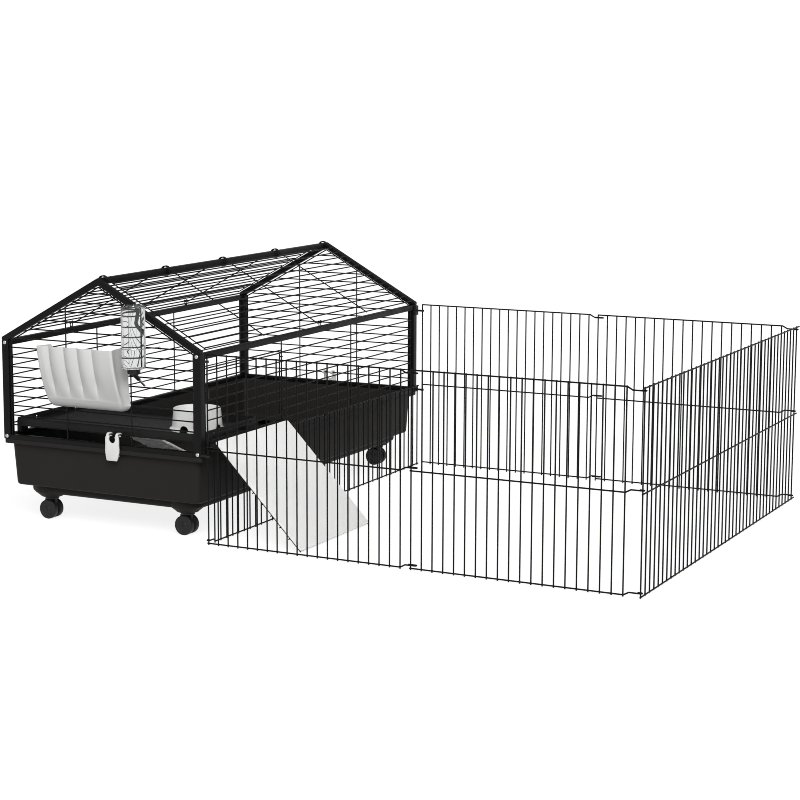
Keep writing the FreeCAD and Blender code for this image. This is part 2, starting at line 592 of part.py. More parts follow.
# ---------------------------------------------------------------- outer ramp
tx, tz, fx, fz = D("ramp_top_x"), D("ramp_top_z"), D("ramp_foot_x"), D("ramp_foot_z")
rn, rw, rt, rr = D("ramp_near"), D("ramp_width"), D("ramp_thick"), D("ramp_wire")
run = Vector(fx - tx, 0, fz - tz)
rlen = run.Length
ru = Vector(run).normalize()
rnm = Vector(-ru.z, 0, ru.x)
sill = (XH, D("sill_height"))
ring_r = MR + rr + 0.07
w = []


def ramp_wire(y):
    """One bent wire: a hook over the sill, level to the top of the slope, then down to the foot."""
    c = Vector(sill[0], y, sill[1])
    at = lambda deg: c + Vector(ring_r * math.cos(math.radians(deg)), 0, ring_r * math.sin(math.radians(deg)))
    top = Vector(tx, y, tz)
    turn = math.acos(ru.x)
    bend = 8.0
    cut = bend * math.tan(turn / 2)
    b0, b1 = top - Vector(cut, 0, 0), top + ru * cut
    hub = b0 - Vector(0, 0, bend)
    bm = hub + Vector(bend * math.sin(turn / 2), 0, bend * math.cos(turn / 2))
    path = Part.Wire([Part.Arc(at(335), at(212), at(90)).toShape(), Part.makeLine(at(90), b0),
                      Part.Arc(b0, bm, b1).toShape(), Part.makeLine(b1, Vector(fx, y, fz))])
    d = Vector(-math.sin(math.radians(335)), 0, math.cos(math.radians(335)))
    ring = Part.Wire([Part.makeCircle(rr, at(335), d)])
    return path.makePipeShell([ring], True, False)


for y in (rn + 3, rn + rw - 3):
    w.append(ramp_wire(y))
k = 14.0
while k < rlen - 10:
    c = Vector(tx, 0, tz) + ru * k - rnm * 2.5
    w.append(rod((c.x, rn - 0.6, c.z), (c.x, rn + rw + 0.6, c.z), 1.4))
    k += 36.0
feature("outer_ramp_frame", weld(w))
board = box("outer_ramp_plate", rlen - 1.0, "dims.ramp_width", "dims.ramp_thick", (0, 0, 0))
o = Vector(tx, rn, tz) + rnm * (rr + 0.06) + ru * 1.0
ang = math.degrees(math.atan2(-ru.z, ru.x))
board.Placement = Placement(o, Rotation(Vector(0, 1, 0), ang))
keep("outer_ramp_board", board)

# ---------------------------------------------------------------- tray clips
def tray_clip(sy, x):
    """Fork clip: two prongs turn on the lowest gable wire, the tongue laps the tray rim."""
    cw, ct = D("clip_width"), D("clip_thick")
    ya = HL - 8.5                              # pivot wire
    z0 = D("mesh_first")
    yo = HL + 2.4
    s = []
    for e in (-1, 1):
        xa = x + e * (cw / 2 - 5.5)
        s.append(Part.makeCylinder(5.2, 11, Vector(xa - 5.5, ya, z0), Vector(1, 0, 0)))
        s.append(block(xa - 5.5, xa + 5.5, ya, yo + ct, z0 - 3.2, z0 + 5.2))
        s.append(block(xa - 5.5, xa + 5.5, yo, yo + ct, 232, z0 + 2))
    outline = [(-cw / 2, 236), (cw / 2, 236), (cw / 2 + 0.5, 216), (cw / 2 - 1.5, 202), (cw / 2 - 7, 186), (-cw / 2 + 4.5, 186), (-cw / 2 + 1, 202), (-cw / 2 - 0.5, 216)]
    plate = Part.Face(Part.makePolygon([Vector(x + a, yo, b) for a, b in outline + outline[:1]])).extrude(Vector(0, ct, 0))
    s.append(plate)
    s.append(block(x - 14, x + 14, HL - 7.0, yo + 1, 195.6, 199.8))
    out = weld(s)
    notch = Part.makeCylinder(cw / 2 - 11.0, 20, Vector(x, yo - 8, 240.5), Vector(0, 1, 0))
    out = out.cut(notch).cut(Part.makeCylinder(MR + 0.08, cw + 20, Vector(x - cw / 2 - 10, ya, z0), Vector(1, 0, 0)))
    if sy < 0:
        out = out.mirror(Vector(0, 0, 0), Vector(0, 1, 0))
    return out


feature("tray_clip_near", tray_clip(-1, D("clip_x")))
feature("tray_clip_far", tray_clip(1, D("clip_far_x")))

# ---------------------------------------------------------------- casters
def caster(label, cx, cy):
    """Twin-wheel caster: a broad neck under the pod, a flat web between the wheels, and the wheel pair on one pin."""
    wr_, ww, wg, wt = D("wheel_radius"), D("wheel_width"), D("wheel_gap"), D("web_thick")
    ax = cx - D("trail")
    y_out = wt / 2 + wg + ww
    top = D("pod_bottom") - 0.5
    web = Part.makeCylinder(17, wt, Vector(ax, cy - wt / 2, wr_), Vector(0, 1, 0))
    arm = Part.Face(Part.makePolygon([Vector(x, cy - wt / 2, z) for x, z in (
        (ax - 17, wr_), (ax + 17, wr_), (cx + 12, wr_ + 27), (cx + 12, wr_ + 29), (cx - 16, wr_ + 29), (ax - 17, wr_ + 24), (ax - 17, wr_))])).extrude(Vector(0, wt, 0))
    neck = Part.makeCylinder(D("neck_radius"), top - (wr_ * 2 + 2), Vector(cx, cy, wr_ * 2 + 2))
    neck = neck.fuse(Part.makeCone(D("neck_radius") - 2, D("neck_radius"), 1.0, Vector(cx, cy, wr_ * 2 + 1.0)))
    stem = Part.makeCylinder(D("stem_radius"), D("stem_top") - top + 1.0, Vector(cx, cy, top - 1.0))
    fork = weld([web, arm, neck, stem])
    fork = fork.cut(Part.makeCylinder(D("axle_radius") + 0.05, 60, Vector(ax, cy - 30, wr_), Vector(0, 1, 0)))
    feature("caster_fork_" + label, fork)
    parts = []
    for s in (-1, 1):
        y0 = cy + s * (wt / 2 + wg)
        d = Vector(0, s, 0)
        wheel = Part.makeCylinder(wr_ - 1.2, ww, Vector(ax, y0, wr_), d).fuse(
            Part.makeCylinder(wr_, ww - 2.4, Vector(ax, y0, wr_) + d * 1.2, d))
        dish = Part.makeCone(16, 18, 2.4, Vector(ax, y0, wr_) + d * (ww - 2.4), d).cut(
            Part.makeCylinder(7, 2.4, Vector(ax, y0, wr_) + d * (ww - 2.4), d))
        wheel = wheel.cut(dish).cut(Part.makeCylinder(D("axle_radius"), ww + 2, Vector(ax, y0, wr_) - d, d))
        parts.append(wheel)
    parts.append(Part.makeCylinder(D("axle_radius"), 2 * y_out - 1.0, Vector(ax, cy - y_out + 0.5, wr_), Vector(0, 1, 0)))
    feature("caster_wheels_" + label, Part.makeCompound(parts))
    return (cx, cy), (ax, cy, wr_)


CAST = {}
for end, sy in (("near", -1), ("far", 1)):
    for side, sx in (("left", -1), ("right", 1)):
        CAST[end + "_" + side] = caster(end + "_" + side, sx * D("pod_x"), sy * D("pod_y"))

# ---------------------------------------------------------------- folding pen
PR, PL = D("pen_wire"), D("pen_rail")


def pen_panel(n, pitch, heights, top, side, tail=None, head=None, overhang=1.6, first=0):
    """A welded panel in its own frame: uprights along +x, rails beside them.  tail is the
    distance from the last upright to the pivot of the next panel and how far the hook
    runs past it; head is the same at the first upright, for a panel that hooks back."""
    w = []
    v = 3.2 * side
    us = [pitch * (i + first) for i in range(n)]
    for u in us:
        w.append(rod((u, 0, 0.2), (u, 0, top), PR))
    hh = D("hook_half")
    for z, dz in heights:
        zz = z + dz
        a, b = us[0] - overhang, us[-1] + overhang
        if tail:
            axis, past = us[-1] + tail[0], tail[1]
            p0 = (us[-1] + 2, v, z)
            p1 = (us[-1] + 15, hh * side, zz)
            ce = axis + past - hh
            p2 = (ce, hh * side, zz)
            arc = Part.makeTorus(hh, PL, Vector(ce, 0, zz), Vector(0, 0, 1)).common(
                block(ce, ce + 12, -12, 12, zz - 4, zz + 4))
            p3 = (ce, -hh * side, zz)
            p4 = (min(axis - 7, ce - 2), -hh * side, zz)
            w += [ball(p0, PL), rod(p0, p1, PL), ball(p1, PL), rod(p1, p2, PL), arc, rod(p3, p4, PL), ball(p4, PL)]
            b = us[-1] + 2
        if head:
            axis = us[0] - head
            p0 = (us[0] - 2, v, z)
            p1 = (us[0] - 13, hh * side, zz)
            ce = axis
            p2 = (ce, hh * side, zz)
            arc = Part.makeTorus(hh, PL, Vector(ce, 0, zz), Vector(0, 0, 1)).common(
                block(ce - 12, ce, -12, 12, zz - 4, zz + 4))
            p3 = (ce, -hh * side, zz)
            p4 = (axis + 7, -hh * side, zz)
            w += [ball(p0, PL), rod(p0, p1, PL), ball(p1, PL), rod(p1, p2, PL), arc, rod(p3, p4, PL), ball(p4, PL)]
            a = us[0] - 2
        w.append(rod((a, v, z), (b, v, z), PL))
    return weld(w)


hd = D("hook_drop")
full = [(D("pen_height") - 2, -hd), (D("pen_mid"), hd), (D("pen_low"), hd)]
half = [(D("pen_mid"), hd), (D("pen_low"), hd)]
pitch, sp, lp = D("pen_pitch"), D("side_pitch"), D("low_pitch")
X0, YN, YB, XC = D("pen_x"), D("pen_near"), D("pen_far"), D("pen_x") + D("pen_corner")
PT = D("pen_height") - 0.3
HP = D("hook_past")
mid_axis = 20 * pitch
corner_tail = D("pen_corner") - (mid_axis + 19 * pitch)
TURN = lambda deg: Rotation(Vector(0, 0, 1), deg)
pen = [
    # label, panel, pivot, turn
    ("pen_near_panel_1", pen_panel(20, pitch, full, PT, -1, (pitch, HP)), (X0, YN), 0),
    ("pen_near_panel_2", pen_panel(20, pitch, full, PT, -1, (corner_tail, D("hook_half"))), (X0 + mid_axis, YN), 0),
    ("pen_right_panel_1", pen_panel(21, sp, full, PT, -1, None, None, 11.5), (XC, YN), 90),
    ("pen_back_panel_1", pen_panel(20, (19 * pitch - 5) / 19, full, PT, 1, (pitch, HP)), (X0 + 5, YB), 0),
    ("pen_back_panel_2", pen_panel(20, pitch, full, PT, 1, (corner_tail, D("hook_half"))), (X0 + mid_axis, YB), 0),
    ("pen_right_panel_2", pen_panel(21, sp, full, PT, 1, None, None, 11.5), (XC, YB), -90),
    ("pen_low_panel_1", pen_panel(20, lp, half, D("pen_mid") + 1.7, -1, (lp, HP), lp, 1.6, 1), (X0, YN), 90),
    ("pen_low_panel_2", pen_panel(21, lp, half, D("pen_mid") + 1.7, -1, None, None, 1.6), (X0, YN + 21 * lp), 90),
]
for label, shp, (px, py), turn in pen:
    f = feature(label, shp)
    f.Placement = Placement(Vector(px, py, 0), TURN(turn))

# small brackets on the right-hand posts: a slim eye holds the first upright of each fence,
# on the far post with a plate behind it
brk = []
for x, y, plates in ((X0, YN, None), (X0 + 5, YB, ((440, 467), (214, 229)))):
    for i, (z0, z1) in enumerate(((451, 456), (218, 223))):
        b = block(HALF, x, y - 2.6, y + 2.6, z0, z1)
        b = b.fuse(Part.makeCylinder(4.8, z1 - z0, Vector(x, y, z0)))
        if plates:
            b = b.fuse(block(HALF, HALF + 5.0, HL - 18.0, HL, plates[i][0], plates[i][1]))
        brk.append(b.cut(Part.makeCylinder(PR + D("bracket_clear"), z1 - z0 + 2, Vector(x, y, z0 - 1))))
feature("pen_brackets", Part.makeCompound(brk))

# ---------------------------------------------------------------- common origin
doc.recompute()
shift = Vector(-D("org_x"), -D("org_y"), 0)
for obj in NODES.values():
    obj.Placement = Placement(obj.Placement.Base + shift, obj.Placement.Rotation)
doc.recompute()

bad = [o.Name for o in doc.Objects if "Invalid" in o.State or "Error" in o.State]
for label, obj in NODES.items():
    s = obj.Shape
    if s.isNull() or not s.isValid() or s.Volume <= 0:
        bad.append(label)
if bad:
    raise RuntimeError("failed pieces: %s" % bad)

os.makedirs("parts", exist_ok=True)
for f in os.listdir("parts"):
    if f.endswith(".step"):
        os.remove(os.path.join("parts", f))
bb = None
for label, obj in NODES.items():
    obj.Shape.exportStep("parts/%s.step" % label)
    if bb is None:
        bb = FreeCAD.BoundBox(obj.Shape.BoundBox)
    else:
        bb.add(obj.Shape.BoundBox)
print("pieces", len(NODES), "box", [round(v, 3) for v in (bb.XMin, bb.XMax, bb.YMin, bb.YMax, bb.ZMin, bb.ZMax)])
print("middle", round((bb.XMin + bb.XMax) / 2, 4), round((bb.YMin + bb.YMax) / 2, 4))
for label, obj in NODES.items():
    s = obj.Shape
    print("%-24s solids %d  vol %.1f cm3" % (label, len(s.Solids), s.Volume / 1000))
print("pivots", {k: tuple(round(c, 3) for c in v) for k, v in PIVOTS.items()}, "ridge", RZ, "casters", CAST,
      "sill", sill, "ball", tuple(round(c, 3) for c in ball_c), "mid", mid_axis, "corner", XC)
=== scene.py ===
import math

import bmesh
import bpy
from mathutils import Matrix, Vector


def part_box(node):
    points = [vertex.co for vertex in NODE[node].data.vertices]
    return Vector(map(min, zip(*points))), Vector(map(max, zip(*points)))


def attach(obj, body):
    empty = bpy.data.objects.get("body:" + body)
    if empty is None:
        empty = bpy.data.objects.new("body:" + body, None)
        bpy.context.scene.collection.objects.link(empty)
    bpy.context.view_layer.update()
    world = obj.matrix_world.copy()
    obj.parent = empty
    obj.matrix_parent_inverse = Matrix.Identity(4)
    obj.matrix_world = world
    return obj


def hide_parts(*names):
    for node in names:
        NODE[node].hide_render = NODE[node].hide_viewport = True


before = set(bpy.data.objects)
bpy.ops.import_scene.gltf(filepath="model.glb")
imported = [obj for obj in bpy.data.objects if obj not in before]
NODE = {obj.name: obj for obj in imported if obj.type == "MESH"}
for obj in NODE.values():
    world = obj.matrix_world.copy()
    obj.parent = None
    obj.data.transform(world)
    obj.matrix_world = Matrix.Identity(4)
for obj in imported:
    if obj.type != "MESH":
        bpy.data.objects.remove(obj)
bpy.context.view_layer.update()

# Shapes below are given in millimetres in the construction frame of the part:
# x = 0 on the ridge plane, y = 0 at the cage's mid-length, z = 0 on the floor.
OX, OY = 569.01, -39.6


def C(p):
    return Vector(((p[0] - OX) / 1000.0, (p[1] - OY) / 1000.0, p[2] / 1000.0))


# ------------------------------------------------------------------ mesh tools
def make(name, verts, faces, angle=40.0, raw=False):
    me = bpy.data.meshes.new(name)
    me.from_pydata([tuple(v) if raw else tuple(C(v)) for v in verts], [], faces)
    me.validate()
    ob = bpy.data.objects.new(name, me)
    bpy.context.scene.collection.objects.link(ob)
    tidy(ob, angle)
    return ob


def tidy(ob, angle=40.0):
    me = ob.data
    bm = bmesh.new()
    bm.from_mesh(me)
    bmesh.ops.remove_doubles(bm, verts=bm.verts, dist=1e-6)
    bmesh.ops.recalc_face_normals(bm, faces=bm.faces)
    bm.to_mesh(me)
    bm.free()
    me.polygons.foreach_set("use_smooth", [True] * len(me.polygons))
    me.set_sharp_from_angle(angle=math.radians(angle))
    me.update()


def bevel(ob, width, segments=3, limit=30.0):
    """Rounds the sharp edges of a mesh; width in millimetres."""
    bm = bmesh.new()
    bm.from_mesh(ob.data)
    edges = [e for e in bm.edges if len(e.link_faces) == 2 and e.calc_face_angle(0.0) > math.radians(limit)]
    bmesh.ops.bevel(bm, geom=edges, offset=width / 1000.0, offset_type="OFFSET", segments=segments, profile=0.6,
                    affect="EDGES", clamp_overlap=True)
    bm.to_mesh(ob.data)
    bm.free()
    tidy(ob, 35.0)
    return ob


def skin(rings, cap0=True, cap1=True, closed=True):
    """Vertices and faces of a surface through rings of equal count."""
    n = len(rings[0])
    verts = [p for r in rings for p in r]
    faces = []
    last = n if closed else n - 1
    for i in range(len(rings) - 1):
        for j in range(last):
            k = (j + 1) % n
            faces.append((i * n + j, i * n + k, (i + 1) * n + k, (i + 1) * n + j))
    if cap0:
        faces.append(tuple(reversed(range(n))))
    if cap1:
        faces.append(tuple(range((len(rings) - 1) * n, len(rings) * n)))
    return verts, faces


def rounded(hx, hy, r, z, n=10, cx=0.0, cy=0.0):
    pts = []
    for sx, sy, a0 in ((1, -1, -90), (1, 1, 0), (-1, 1, 90), (-1, -1, 180)):
        for i in range(n + 1):
            a = math.radians(a0 + 90.0 * i / n)
            pts.append((cx + sx * (hx - r) + r * math.cos(a), cy + sy * (hy - r) + r * math.sin(a), z))
    return pts


def lathe(profile, n=96, centre=(0, 0, 0), axis="z", cap0=True, cap1=True):
    """A turned shape: profile points are (radius, height along the axis)."""
    rings = []
    for r, h in profile:
        ring = []
        for i in range(n):
            a = 2 * math.pi * i / n
            u, v = r * math.cos(a), r * math.sin(a)
            if axis == "z":
                ring.append((centre[0] + u, centre[1] + v, centre[2] + h))
            else:
                ring.append((centre[0] + u, centre[1] + h, centre[2] + v))
        rings.append(ring)
    return skin(rings, cap0, cap1)


def join(parts):
    verts, faces = [], []
    for v, f in parts:
        base = len(verts)
        verts += list(v)
        faces += [tuple(i + base for i in q) for q in f]
    return verts, faces


def block(x0, x1, y0, y1, z0, z1):
    v = [(x0, y0, z0), (x1, y0, z0), (x1, y1, z0), (x0, y1, z0), (x0, y0, z1), (x1, y0, z1), (x1, y1, z1), (x0, y1, z1)]
    f = [(0, 3, 2, 1), (4, 5, 6, 7), (0, 1, 5, 4), (1, 2, 6, 5), (2, 3, 7, 6), (3, 0, 4, 7)]
    return v, f


def prism(points, y0, y1):
    """A polygon in x and z, extruded along y."""
    a = [(x, y0, z) for x, z in points]
    b = [(x, y1, z) for x, z in points]
    return skin([a, b])


def boolean(ob, tool, op):
    m = ob.modifiers.new("cut", "BOOLEAN")
    m.operation = op
    m.solver = "EXACT"
    m.object = tool
    deps = bpy.context.evaluated_depsgraph_get()
    me = bpy.data.meshes.new_from_object(ob.evaluated_get(deps))
    ob.modifiers.clear()
    ob.data = me
    bpy.data.objects.remove(tool)
    return ob


def bezier(points, n):
    """A smooth curve through the points (Catmull-Rom, in two or three dimensions)."""
    out = []
    for i in range(len(points) - 1):
        p0 = points[max(i - 1, 0)]
        p1, p2 = points[i], points[i + 1]
        p3 = points[min(i + 2, len(points) - 1)]
        for k in range(n):
            t = k / n
            out.append(tuple(0.5 * (2 * b + (c - a) * t + (2 * a - 5 * b + 4 * c - d) * t * t + (3 * b - a - 3 * c + d) * t ** 3)
                             for a, b, c, d in zip(p0, p1, p2, p3)))
    out.append(tuple(points[-1]))
    return out


# ------------------------------------------------------------------ materials
def material(name, color, rough, spread=0.0, var=0.12, grain=900.0, bump=0.15, grain_size=0.0004, metallic=0.0, spec=0.5, coat=0.0,
             mottle=9.0, coat_rough=0.2, streak=None):
    """Principled surface with mottled colour, uneven gloss and a fine grain in its bump."""
    m = bpy.data.materials.new(name)
    m.use_nodes = True
    nt = m.node_tree
    b = nt.nodes["Principled BSDF"]
    b.inputs["Metallic"].default_value = metallic
    b.inputs["Specular IOR Level"].default_value = spec
    b.inputs["Coat Weight"].default_value = coat
    b.inputs["Coat Roughness"].default_value = coat_rough
    tc = nt.nodes.new("ShaderNodeTexCoord")
    mp = nt.nodes.new("ShaderNodeMapping")
    if streak:
        mp.inputs["Scale"].default_value = streak
    nt.links.new(tc.outputs["Object"], mp.inputs["Vector"])
    big = nt.nodes.new("ShaderNodeTexNoise")
    big.inputs["Scale"].default_value = mottle
    big.inputs["Detail"].default_value = 5.0
    big.inputs["Roughness"].default_value = 0.6
    nt.links.new(mp.outputs["Vector"], big.inputs["Vector"])
    ramp = nt.nodes.new("ShaderNodeValToRGB")
    ramp.color_ramp.elements[0].position = 0.3
    ramp.color_ramp.elements[1].position = 0.72
    ramp.color_ramp.elements[0].color = tuple(max(0.0, c * (1 - var)) for c in color) + (1,)
    ramp.color_ramp.elements[1].color = tuple(min(1.0, c * (1 + var)) for c in color) + (1,)
    nt.links.new(big.outputs["Fac"], ramp.inputs["Fac"])
    nt.links.new(ramp.outputs["Color"], b.inputs["Base Color"])
    rr = nt.nodes.new("ShaderNodeMapRange")
    rr.inputs["From Min"].default_value = 0.3
    rr.inputs["From Max"].default_value = 0.7
    rr.inputs["To Min"].default_value = max(0.02, rough - spread)
    rr.inputs["To Max"].default_value = min(1.0, rough + spread)
    nt.links.new(big.outputs["Fac"], rr.inputs["Value"])
    nt.links.new(rr.outputs["Result"], b.inputs["Roughness"])
    fine = nt.nodes.new("ShaderNodeTexNoise")
    fine.inputs["Scale"].default_value = grain
    fine.inputs["Detail"].default_value = 3.0
    nt.links.new(tc.outputs["Object"], fine.inputs["Vector"])
    bp = nt.nodes.new("ShaderNodeBump")
    bp.inputs["Strength"].default_value = bump
    bp.inputs["Distance"].default_value = grain_size
    nt.links.new(fine.outputs["Fac"], bp.inputs["Height"])
    nt.links.new(bp.outputs["Normal"], b.inputs["Normal"])
    return m


M_TRAY = material("charcoal_tray", (0.0135, 0.0123, 0.0115), 0.58, 0.05, 0.10, 1400.0, 0.35, 0.0004, spec=0.12, mottle=7.0)
M_TUBE = material("black_powder_tube", (0.0030, 0.0030, 0.0031), 0.45, 0.07, 0.25, 700.0, 0.22, 0.0004, spec=0.12, mottle=22.0)
M_WIRE = material("black_coated_wire", (0.0030, 0.0030, 0.0031), 0.42, 0.08, 0.25, 1600.0, 0.12, 0.0002, spec=0.14, mottle=40.0)
M_PEN = material("pen_coated_wire", (0.0030, 0.0029, 0.0028), 0.46, 0.08, 0.25, 1600.0, 0.12, 0.0002, spec=0.10, mottle=40.0)
M_SHELF = material("black_platform", (0.0060, 0.0060, 0.0061), 0.50, 0.06, 0.15, 1300.0, 0.30, 0.0004, spec=0.22, mottle=10.0)
M_CAP = material("black_cap", (0.006, 0.006, 0.006), 0.36, 0.06, 0.2, 1500.0, 0.12, 0.0003, spec=0.3, mottle=60.0)
M_WHITE = material("white_moulded", (0.83, 0.83, 0.815), 0.34, 0.06, 0.015, 900.0, 0.10, 0.0003, spec=0.45, mottle=14.0)
M_THIN = material("white_thin_sheet", (0.86, 0.86, 0.845), 0.40, 0.06, 0.015, 900.0, 0.10, 0.0003, spec=0.35, mottle=14.0)
M_THIN.node_tree.nodes["Principled BSDF"].inputs["Subsurface Weight"].default_value = 1.0
M_THIN.node_tree.nodes["Principled BSDF"].inputs["Subsurface Scale"].default_value = 0.012
M_THIN.node_tree.nodes["Principled BSDF"].inputs["Subsurface Radius"].default_value = (1.0, 1.0, 1.0)
# The hay feeder is the same white moulded plastic, with its colour lowered to 0.60: this darker copy is painted shade
# on the feeder.
M_FEED_PAINTED_SHADE = material("feeder_white_with_painted_shade", (0.60, 0.60, 0.587), 0.42, 0.06, 0.015, 900.0, 0.10, 0.0003, spec=0.30, mottle=14.0)
M_BOARD = material("ramp_sheet", (0.81, 0.81, 0.80), 0.48, 0.06, 0.02, 800.0, 0.22, 0.0004, spec=0.4, mottle=10.0)
M_CLIP = material("clip_plastic", (0.64, 0.64, 0.63), 0.38, 0.06, 0.02, 1200.0, 0.15, 0.0003, spec=0.45, mottle=40.0)
M_STEEL = material("stainless", (0.60, 0.58, 0.54), 0.26, 0.08, 0.08, 1800.0, 0.10, 0.0002, metallic=1.0, mottle=90.0)
M_ZINC = material("zinc_plate", (0.56, 0.56, 0.55), 0.34, 0.10, 0.15, 1500.0, 0.20, 0.0003, metallic=1.0, mottle=160.0)
M_CASTER = material("caster_plastic", (0.0075, 0.0075, 0.0076), 0.46, 0.06, 0.2, 1400.0, 0.30, 0.0004, spec=0.25, mottle=40.0)
M_WHEEL = material("caster_wheel", (0.0085, 0.0085, 0.0085), 0.52, 0.06, 0.2, 1100.0, 0.35, 0.0005, spec=0.25, mottle=60.0)


def clear_plastic():
    m = bpy.data.materials.new("clear_bottle")
    m.use_nodes = True
    nt = m.node_tree
    b = nt.nodes["Principled BSDF"]
    b.inputs["Base Color"].default_value = (0.70, 0.71, 0.71, 1)
    b.inputs["Transmission Weight"].default_value = 1.0
    b.inputs["IOR"].default_value = 1.50
    tc = nt.nodes.new("ShaderNodeTexCoord")
    nz = nt.nodes.new("ShaderNodeTexNoise")
    nz.inputs["Scale"].default_value = 55.0
    nz.inputs["Detail"].default_value = 2.0
    nt.links.new(tc.outputs["Object"], nz.inputs["Vector"])
    rr = nt.nodes.new("ShaderNodeMapRange")
    rr.inputs["To Min"].default_value = 0.0
    rr.inputs["To Max"].default_value = 0.012
    nt.links.new(nz.outputs["Fac"], rr.inputs["Value"])
    nt.links.new(rr.outputs["Result"], b.inputs["Roughness"])
    bp = nt.nodes.new("ShaderNodeBump")
    bp.inputs["Strength"].default_value = 0.04
    bp.inputs["Distance"].default_value = 0.0003
    nt.links.new(nz.outputs["Fac"], bp.inputs["Height"])
    nt.links.new(bp.outputs["Normal"], b.inputs["Normal"])
    return m


M_CLEAR = clear_plastic()


def paint(ob, mat):
    ob.data.materials.clear()
    ob.data.materials.append(mat)


def piece(ob, mat, body, slot, *nodes):
    """Gives a new piece its finish, the body it rides on and the plain solid it stands for."""
    paint(ob, mat)
    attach(ob, body)
    if nodes:
        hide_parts(*nodes)
    return ob


# finishes of the solids that stay as they are
for n, o in NODE.items():
    if n.startswith(("gable_", "wall_", "door_surround", "side_door", "roof_", "outer_ramp_frame")):
        paint(o, M_WIRE)
    elif n.startswith("pen_brackets") or n == "door_latch":
        paint(o, M_SHELF)
    elif n.startswith("pen_"):
        paint(o, M_PEN)
    elif n in ("sipper_tube", "sipper_ball", "bottle_hanger"):
        paint(o, M_STEEL)
    o.data.polygons.foreach_set("use_smooth", [True] * len(o.data.polygons))
    o.data.update()

HALF, HL = 297.0, 600.0
RIM = 214.0

# ------------------------------------------------------------------ tray
outer = [rounded(243, 546, 22, 70.0), rounded(249, 552, 26, 71.2), rounded(252.8, 555.8, 28.6, 74.0), rounded(254.6, 557.6, 29.8, 77.0), rounded(255, 558, 30, 80.0), rounded(255, 558, 30, 92.4),
         rounded(256.2, 559.2, 30, 93.0), rounded(273.6, 576.6, 12.4, 93.0), rounded(276.2, 579.2, 14.4, 94.2), rounded(278.0, 581.0, 15.4, 96.6), rounded(278.9, 581.9, 15.9, 100.0),
         rounded(281.6, 584.6, 16, 150.0), rounded(284.4, 587.4, 16, 203.0), rounded(284.7, 587.7, 16, 209.4), rounded(286.3, 589.3, 15, 211.0),
         rounded(293.4, 596.4, 5.2, 211.0), rounded(294, 597, 5, 210.4), rounded(294, 597, 5, 203.6), rounded(294.5, 597.5, 5.4, 203.0), rounded(296.3, 599.3, 7.4, 203.0), rounded(297, 600, 8, 203.7),
         rounded(297, 600, 8, 212.6), rounded(296.6, 599.6, 7.7, 213.5), rounded(295.6, 598.6, 7, 214.0),
         rounded(284.2, 587.2, 14, 214.0), rounded(282.8, 585.8, 13.4, 213.4), rounded(282.0, 585.0, 13, 212.0), rounded(276.2, 579.2, 13, 109.0), rounded(274.4, 577.4, 12.4, 102.6), rounded(271.2, 574.2, 11.4, 99.2), rounded(266, 569, 10, 98.0),
         rounded(254, 557, 29, 98.0), rounded(252.4, 555.4, 28, 97.4), rounded(252, 555, 27, 96.0), rounded(252, 555, 27, 82.0), rounded(249.6, 552.6, 25.6, 76.8), rounded(242, 545, 22, 74.0)]
tray = make("tray_shell", *skin(outer))
podv = []
for sx in (-1, 1):
    for sy in (-1, 1):
        podv.append(lathe([(27.0, 59.0), (28.2, 59.5), (29.2, 60.8), (43.6, 72.6), (44.7, 74.0), (45.0, 76.0), (45.0, 93.6)], 64, (sx * 207, sy * 521, 0)))
pods = make("tray_pods", *join(podv))
inside = make("tray_inside", *skin([rounded(242, 545, 22, 74.0), rounded(249.6, 552.6, 25.6, 76.8), rounded(252, 555, 27, 82.0), rounded(252, 555, 27, 100.0)]))
boolean(pods, inside, "DIFFERENCE")
tidy(pods, 40.0)
boss = []
for sx in (-1, 1):
    for sy in (-1, 1):
        boss.append(lathe([(9.6, 72.0), (9.6, 74.3), (9.0, 75.2), (9.0, 98.6), (8.4, 99.7), (7.2, 100.0)], 40, (sx * 207, sy * 521, 0)))
bosses = make("tray_stem_bosses", *join(boss))
piece(tray, M_TRAY, "cage", "tray_plastic", "tray")
piece(pods, M_TRAY, "cage", "tray_plastic", "tray")
piece(bosses, M_TRAY, "cage", "tray_plastic", "tray")

# ------------------------------------------------------------------ square tubes
def tube_piece(node, slot="black_tube", width=1.6):
    lo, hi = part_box(node)
    v, f = block(lo.x, hi.x, lo.y, hi.y, lo.z, hi.z)
    ob = make(node + "_skin", v, f, raw=True)
    bevel(ob, width, 3)
    piece(ob, M_TUBE, "cage", slot, node)


for node in NODE:
    if node.startswith(("post_", "eave_tube", "ridge_tube")):
        tube_piece(node)
rails = []
for sy in (-1, 1):
    a, b = sorted((sy * HL, sy * (HL - 15)))
    rails.append(block(-HALF + 20, HALF - 20, a, b, RIM, RIM + 12))
for sx in (-1, 1):
    a, b = sorted((sx * HALF, sx * (HALF - 15)))
    rails.append(block(a, b, -HL + 20, HL - 20, RIM, RIM + 12))
ob = make("base_rails_skin", *join(rails))
bevel(ob, 1.4, 3)
piece(ob, M_TUBE, "cage", "black_tube", "base_rails")

SLOPE = (641.0 - 477.0) / HALF
TH = math.atan(SLOPE)
LOW = 15.0 / math.cos(TH)
FOOT = (641.0 - LOW - 470.0) / SLOPE
for sx, side in ((-1, "left"), (1, "right")):
    for sy, end in ((-1, "near"), (1, "far")):
        pts = [(0, 641.0), (HALF, 477.0), (HALF, 470.0), (FOOT, 470.0), (0, 641.0 - LOW)]
        a, b = sorted((sy * HL, sy * (HL - 15)))
        ob = make("rafter_%s_%s_skin" % (end, side), *prism([(sx * x, z) for x, z in pts], a, b))
        bevel(ob, 1.5, 3, 20.0)
        piece(ob, M_TUBE, "cage", "black_tube", "rafter_%s_%s" % (end, side))

